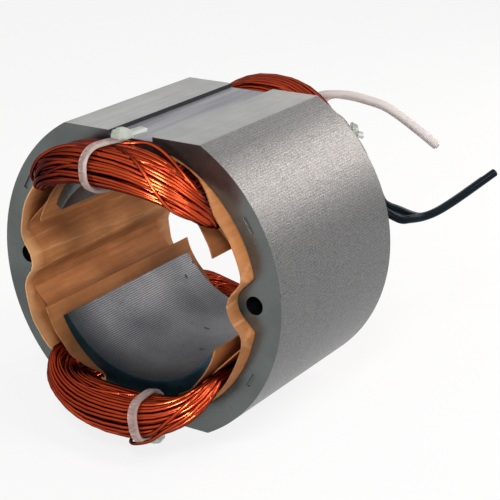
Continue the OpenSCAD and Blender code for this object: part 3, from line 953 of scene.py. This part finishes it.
def rounded_block(low, high, bevel, taper=1.0):
    """Points and faces of a block with rounded edges; its high x end may be narrower."""
    shape = bmesh.new()
    bmesh.ops.create_cube(shape, size=1.0)
    for vertex in shape.verts:
        narrow = taper if vertex.co.x > 0 else 1.0
        for k in range(3):
            half = (high[k] - low[k]) / 2
            scale = narrow if k else 1.0
            vertex.co[k] = (low[k] + high[k]) / 2 + math.copysign(half * scale, vertex.co[k])
    bmesh.ops.bevel(shape, geom=shape.edges[:], offset=bevel, segments=3, profile=0.5, affect="EDGES")
    shape.verts.index_update()
    points = [vertex.co.copy() for vertex in shape.verts]
    faces = [tuple(vertex.index for vertex in face.verts) for face in shape.faces]
    shape.free()
    return points, faces


def tie_blocks(laid_back):
    """Blocks of a tie's head and cut tail, which lies back along the strap or else stands up as a stub."""
    h, t = TIE_W / 2, TIE_T / 2
    half_l, half_w = HEAD_L / 2, HEAD_W / 2
    head = (HEAD_H, HEAD_L, HEAD_W)
    cap_low = [share * size for share, size in zip(CAP_LOW, head)]
    cap_high = [share * size for share, size in zip(CAP_HIGH, head)]
    blocks = [
        rounded_block((0, -half_l, -half_w), (HEAD_H - HEAD_STEP, half_l, half_w), HEAD_EDGE, HEAD_TAPER),
        rounded_block(cap_low, cap_high, CAP_EDGE, CAP_TAPER),
    ]
    if not laid_back:
        return blocks + [rounded_block((0, -t, -h), (HEAD_H + STUB_L, t, h), TAIL_EDGE)]
    blocks.append(rounded_block((t, 0, -h), (3 * t, half_l + TAIL_L, h), TAIL_EDGE))
    for k in range(TAIL_RIBS):
        y = half_l + TAIL_L * (RIB_FROM + RIB_STEP * k)
        low, high = (3 * t - RIB_SUNK, y, -RIB_W * h), (3 * t + RIB_RISE, y + RIB_L, RIB_W * h)
        blocks.append(rounded_block(low, high, RIB_EDGE))
    return blocks


def make_tie(name, node, lower, phi, end, head_at, head_shift, laid_back=False, lean=0.0, twist=0.0):
    clear = LEAN_CLEAR if lean else TIE_CLEAR
    centre, axis_u, axis_v, square_to, loop = tie_frame(phi, end, lean, twist)

    def in_space(x, y, z):
        return flipped(centre + axis_u * x + axis_v * y + square_to * z, lower)

    raised = [q * (1 + (clear + TIE_T / 2) / q.length) for q in loop]
    middle = spaced(raised + raised[:1], STRAP_RINGS, STRAP_RINGS)
    points = []
    h, t = TIE_W / 2, TIE_T / 2
    for k, q in enumerate(middle):
        ahead = middle[(k + 1) % STRAP_RINGS] - middle[k - 1]
        out = Vector((ahead.y, -ahead.x)).normalized()
        if out.dot(q) < 0:
            out = -out
        rib = t - (RIB_DEPTH if k % (2 * RIB_RINGS) >= RIB_RINGS else 0.0)
        edge = [(r * t, w * h) for r, w in STRAP_EDGE] + [(rib, TROUGH_W * h)]
        section = edge + [(r, -w) for r, w in reversed(edge)]
        points += [in_space(q.x + out.x * r, q.y + out.y * r, w) for r, w in section]
    faces = ring_faces(STRAP_RINGS, len(section), True)

    strap_points = len(points)
    head_on = loop[round(head_at * LOOP_POINTS)]
    turn = math.atan2(head_on.y, head_on.x)
    seat = head_on.length + clear + TIE_T / 2
    for block_points, block_faces in tie_blocks(laid_back):
        start = len(points)
        for p in block_points:
            x, y = seat + p.x, head_shift + p.y
            points.append(in_space(x * math.cos(turn) - y * math.sin(turn),
                                   x * math.sin(turn) + y * math.cos(turn), p.z))
        faces += [tuple(start + at for at in face) for face in block_faces]
    mesh = mesh_of(name, points, faces)
    turn_outward(mesh, TIE_SHARP_ANGLE, head=[float(k >= strap_points) for k in range(len(points))])
    return add_piece(mesh, NYLON, [node])


make_tie("front_upper_strap", "front_upper_tie", lower=False, phi=89, end=FRONT, head_at=0.25, head_shift=4.6,
         laid_back=True, twist=-15)
make_tie("front_lower_strap", "front_lower_tie", lower=True, phi=68, end=FRONT, head_at=0.25, head_shift=1.5,
         laid_back=True)
make_tie("rear_upper_strap", "rear_upper_tie", lower=False, phi=27, end=REAR, head_at=0.07, head_shift=0,
         lean=2)
make_tie("rear_lower_strap", "rear_lower_tie", lower=True, phi=90, end=REAR, head_at=0.25, head_shift=-2)


# Slot liners: one creased sheet of paper each

PAPER_T = 0.4
PAPER_MID = 0.35
BOSS_X = 37.0
BOSS_R = 4.9
MOUTH_Z = 12.4
CUFF_L = 4.8
CUFF_FROM_X = 21.0
LIP_FROM_X = 13.0
CUFF_RUN = 7.5
PATH_STEP = 0.8
CREST_STEP = 0.3
WALL_EASE = 0.7
CREST_EASE = 2.0
# Share of the way to the eased rim at a cuff's edge, and how ragged and how wavy that edge is
RIM_SHARE = 0.75
RIM_RAGGED = 0.25
RIM_WAVE = 0.35
# Folds along the core, as (place from the boss crest at the front, drift per mm, waver, strength)
LEFT_FOLDS = [(2.0, -0.05, 0.5, 1.0), (-2.5, 0.03, 1.2, 1.0), (-6.5, 0.0, 0.6, 0.6), (6.2, 0.02, 0.5, 0.5)]
RIGHT_FOLDS = [(0.3, 0.0, 0.6, 1.0), (4.5, 0.02, 0.8, 0.7), (-5.0, 0.0, 0.7, 0.7)]
FOLD_W = 0.34
FOLD_LIFT = 0.22
# Looseness of the paper on its wall, and how much more there is near the boss crest
WALL_LIFT = 0.02
CREST_LIFT = 0.25
CREST_W = 9.0
# Creases that fan out from the foot of the boss to the edge of a cuff
CORNER_S = 10.5
CORNER_FAN = 3.0
CORNER_W = 0.5
CORNER_WEAR = 0.5
# Height below which a cuff is coloured darker
LOW_DARKENING_Z = 4
DEEPEST_STAIN_AND_SHADE = 0.9
STACK_ROWS = 56
CUFF_ROWS = 7
PAPER_SHARP_ANGLE = 50


def arc(cx, cz, r, first, last, step=PATH_STEP):
    """Points of an arc, its angles in degrees."""
    steps = max(2, round(abs(math.radians(last - first)) * r / step))
    angles = [math.radians(first + (last - first) * k / steps) for k in range(steps + 1)]
    return [Vector((cx + r * math.cos(g), cz + r * math.sin(g))) for g in angles]


def line(first, last, step=PATH_STEP):
    steps = max(2, round((last - first).length / step))
    return [first.lerp(last, k / steps) for k in range(steps + 1)]


def liner_path():
    """Middle of the right liner's paper, from the lower lip round the slot wall to the upper lip.

    Its points are x and z. The lip is the part on the back of the pole shoe; its length comes second.
    """
    r = BOSS_R + PAPER_MID
    wall = SLOT_R - PAPER_MID
    slope = Vector((1, 1)).normalized()
    foot = Vector((BOSS_X, 0)) + Vector((-slope.x, slope.y)) * r
    along = foot.dot(slope)
    top = foot + slope * (math.sqrt(along ** 2 - foot.length_squared + wall ** 2) - along)
    neck = NECK_X + PAPER_MID
    shoe = SHOE_R + PAPER_MID
    root = Vector((neck, SHOE_Z + math.sqrt(shoe ** 2 - neck ** 2)))
    over_neck = Vector((neck, math.sqrt(wall ** 2 - neck ** 2)))
    lip = math.degrees(math.asin((MOUTH_Z - SHOE_Z) / shoe))
    half = arc(BOSS_X, 0, r, 180, 135, CREST_STEP) + line(foot, top, CREST_STEP)[1:]
    half += arc(0, 0, wall, math.degrees(math.atan2(top.y, top.x)),
                math.degrees(math.atan2(over_neck.y, over_neck.x)))[1:]
    half += line(over_neck, root)[1:]
    half += arc(0, SHOE_Z, shoe, math.degrees(math.atan2(root.y - SHOE_Z, root.x)), lip)[1:]
    lip_length = shoe * (math.atan2(root.y - SHOE_Z, root.x) - math.radians(lip))
    return [Vector((p.x, -p.y)) for p in reversed(half[1:])] + half, lip_length


def eased(path, reach):
    """Path averaged over a reach, so that its corners are round; its ends stay."""
    run = lengths_along(path)
    last = len(path) - 1
    steps = [run[min(k + 1, last)] - run[max(k - 1, 0)] for k in range(last + 1)]
    made = []
    for here in run:
        span = max(min(reach, here, run[-1] - here), 0.01)
        weights = [step * math.exp(-((there - here) / span) ** 2) for there, step in zip(run, steps)]
        middle = sum((p * w for p, w in zip(path, weights)), Vector((0, 0)))
        made.append(middle / sum(weights))
    return made


def cuff_reach(x, from_x):
    """How far the cuff stands out of the core, which is less beside the neck."""
    return min(CUFF_L, max(0.0, CUFF_L / CUFF_RUN * (x - from_x)))


def peak(x, width):
    return math.exp(-(x / width) ** 2)


def ripple_at(*place):
    return ripple.noise(Vector(place))


def rim_path(wall, reach, crest_stays):
    """Edge of a cuff: the wall with its corners drawn in, and the crest of the boss kept if it stays."""
    rim = eased(wall, reach)
    if not crest_stays:
        return rim
    return eased([q if q.length < p.length else p for p, q in zip(wall, rim)], CREST_EASE)


def fold_at(folds, s, y, seed):
    """How much a place lies on a fold, s along the path from the crest."""
    total = 0.0
    for k, (start, drift, waver, strength) in enumerate(folds):
        fold_s = start + drift * (y + END_Y) + waver * ripple_at(y * 0.12, seed, k)
        fold_s += 0.4 * waver * ripple_at(y * 0.55, seed, k + 9.0)
        fade = 0.65 + 0.7 * ripple_at(y * 0.15, seed + 5.0, k)
        total += strength * fade * peak(s - fold_s, FOLD_W)
    return total


def sheet_faces(columns, rows):
    """Faces of both sides of a sheet of points, and of the strip along its border."""
    half = columns * rows
    faces = []
    for column in range(columns - 1):
        for row in range(rows - 1):
            a = column * rows + row
            quad = (a, a + rows, a + rows + 1, a + 1)
            faces += [quad, tuple(half + v for v in reversed(quad))]
    border = [column * rows for column in range(columns)]
    border += [(columns - 1) * rows + row for row in range(1, rows)]
    border += [column * rows + rows - 1 for column in range(columns - 2, -1, -1)]
    border += list(range(rows - 2, 0, -1))
    for first, second in zip(border, border[1:] + border[:1]):
        faces.append((second, first, half + first, half + second))
    return faces


def make_liner(name, node, side, seed, folds, rim_wear_and_light, low_stain, rim_ease, crest_stays):
    path, lip_length = liner_path()
    wall = eased(path, WALL_EASE)
    rim = rim_path(wall, rim_ease, crest_stays)
    run = lengths_along(wall)
    crest = run[len(run) // 2]
    rows = [(FRONT, 1 - k / CUFF_ROWS) for k in range(CUFF_ROWS)]
    rows += [(0, -1 + 2 * k / STACK_ROWS) for k in range(STACK_ROWS + 1)]
    rows += [(REAR, (k + 1) / CUFF_ROWS) for k in range(CUFF_ROWS)]
    sheets, creases, stains = ([], []), [], []
    for at, p in enumerate(wall):
        ahead = wall[min(at + 1, len(wall) - 1)] - wall[max(at - 1, 0)]
        into_slot = Vector((ahead.y, -ahead.x)).normalized() * -1
        s = run[at] - crest
        on_lip = abs(s) > crest - lip_length
        cuff = cuff_reach(p.x, LIP_FROM_X if on_lip else CUFF_FROM_X)
        for end, share in rows:
            if end:
                ragged = RIM_RAGGED * ripple_at(s * 0.22, seed, end)
                y = end * (END_Y + (cuff + ragged) * share)
                place = p.lerp(rim[at], RIM_SHARE * share)
            else:
                y = END_Y * share
                place = p
            fold = fold_at(folds, s, y, seed)
            loose = 0.5 + 0.5 * ripple_at(s * 0.16, y * 0.07, seed)
            lift = (WALL_LIFT + CREST_LIFT * peak(s, CREST_W)) * loose + FOLD_LIFT * fold
            if end:
                lift += RIM_WAVE * share * ripple_at(s * 0.13, seed + 2.0, end)
                corner = min(abs(s - CORNER_S), abs(s + CORNER_S)) - CORNER_FAN * (1 - share)
                # A worn rim is paler; the larger share on the left liner also paints light onto its rim
                fold += CORNER_WEAR * peak(corner, CORNER_W) + (0.0 if on_lip else rim_wear_and_light * share)
            creases.append(min(fold, 1.0))
            # Random varnish stains; painted shade darkens each lip towards its root under the coil; a cuff is
            # darker below the boss
            stain = 0.3 * ripple_at(s * 0.1, y * 0.1, seed + 7.0)
            if on_lip:
                stain += 0.3 + 0.7 * (crest - abs(s)) / lip_length
            elif end:
                stain += low_stain * (0.5 + 0.5 * share) * (1.0 if p.y < LOW_DARKENING_Z else 0.3)
            else:
                stain += 0.15
            stains.append(min(max(stain, 0.0), DEEPEST_STAIN_AND_SHADE))
            for sheet, offset in zip(sheets, (PAPER_T / 2, -PAPER_T / 2)):
                q = place + into_slot * (lift + offset)
                sheet.append(Vector((side * q.x, y, q.y)))
    mesh = mesh_of(name, sheets[0] + sheets[1], sheet_faces(len(wall), len(rows)))
    turn_outward(mesh, PAPER_SHARP_ANGLE, crease=creases * 2, stain=stains * 2)
    return add_piece(mesh, LINER_PAPER, [node])


make_liner("right_liner_sheet", "right_slot_liner", side=1, seed=3.0, folds=RIGHT_FOLDS, rim_wear_and_light=0.3,
           low_stain=0.4, rim_ease=3.4, crest_stays=False)
# The left liner's larger rim share paints light onto its rim as well as wear
make_liner("left_liner_sheet", "left_slot_liner", side=-1, seed=8.0, folds=LEFT_FOLDS, rim_wear_and_light=1.3,
           low_stain=0.0, rim_ease=11.0, crest_stays=True)


# The core and the closing strips keep their solids

for node_name, node_object in nodes.items():
    if node_name == "laminated_core" or node_name.endswith("_closer"):
        node_object.data.materials.clear()
        node_object.data.materials.append(STEEL if node_name == "laminated_core" else STRIP_PAPER)


# Floor, backdrop and lights

def seen_share(tree):
    """1 for rays from the camera and for reflections and views through glass, else 0."""
    path = add_node(tree, "ShaderNodeLightPath")
    seen = maths(tree, "MAXIMUM", path.outputs["Is Camera Ray"], path.outputs["Is Glossy Ray"])
    return maths(tree, "MAXIMUM", seen, path.outputs["Is Transmission Ray"])


FLOOR_SIZE = 6.0
FLOOR_WHITE = 0.83
ROOM_LIGHT = 0.27


def floor_material():
    """White sweep that keeps a soft shadow."""
    material, tree, shader = new_material("white_sweep")
    grain = noise(tree, place_on_object(tree), 40.0)
    paint(tree, shader, mix(tree, grain, (0.90, 0.90, 0.90), (0.93, 0.93, 0.93)), 0.9)
    glow = add_node(tree, "ShaderNodeEmission", {"Color": (1, 1, 1, 1), "Strength": 1.0})
    share = times(tree, seen_share(tree), FLOOR_WHITE)
    shown = add_node(tree, "ShaderNodeMixShader", {0: share, 1: shader.outputs[0], 2: glow.outputs[0]})
    feed(tree, tree.nodes["Material Output"].inputs["Surface"], shown.outputs[0])
    return material


floor_z = cad_box[0][2]
reach = FLOOR_SIZE / 2
corners = [(x, y, floor_z) for x, y in ((-reach, -reach), (reach, -reach), (reach, reach), (-reach, reach))]
floor_mesh = bpy.data.meshes.new("floor")
floor_mesh.from_pydata(corners, [], [(0, 1, 2, 3)])
floor_mesh.materials.append(floor_material())
floor = bpy.data.objects.new("floor", floor_mesh)
scene.collection.objects.link(floor)

world = bpy.data.worlds.new("studio")
world.use_nodes = True
scene.world = world
sky = world.node_tree
room = sky.nodes["Background"]
room.inputs["Color"].default_value = (1, 1, 1, 1)
feed(sky, room.inputs["Strength"], spread(sky, seen_share(sky), ROOM_LIGHT, 1.0))


def add_lamp(name, place, size, power, colour=(1, 1, 1)):
    """Square lamp that faces the stator."""
    data = bpy.data.lights.new(name, "AREA")
    data.size = size
    data.energy = power
    data.color = colour
    lamp = bpy.data.objects.new(name, data)
    lamp.location = place
    lamp.rotation_euler = (-Vector(place)).to_track_quat("-Z", "Y").to_euler()
    scene.collection.objects.link(lamp)
    return lamp


add_lamp("key_lamp", (0.36, -0.64, 0.68), size=0.2, power=3.6)
add_lamp("side_lamp", (0.2, 0.42, 0.21), size=0.22, power=1.15, colour=(1.0, 0.90, 0.83))
add_lamp("top_lamp", (0.64, 0.05, 0.75), size=0.25, power=3.15, colour=(1.0, 0.93, 0.895))
add_lamp("front_lamp", (0.75, -0.66, 0.1), size=0.4, power=2.6)
# A low soft box that only shows as glints on the wire
add_lamp("glint_lamp", (0.17, -0.925, 0.11), size=0.22, power=14.0).visible_diffuse = False
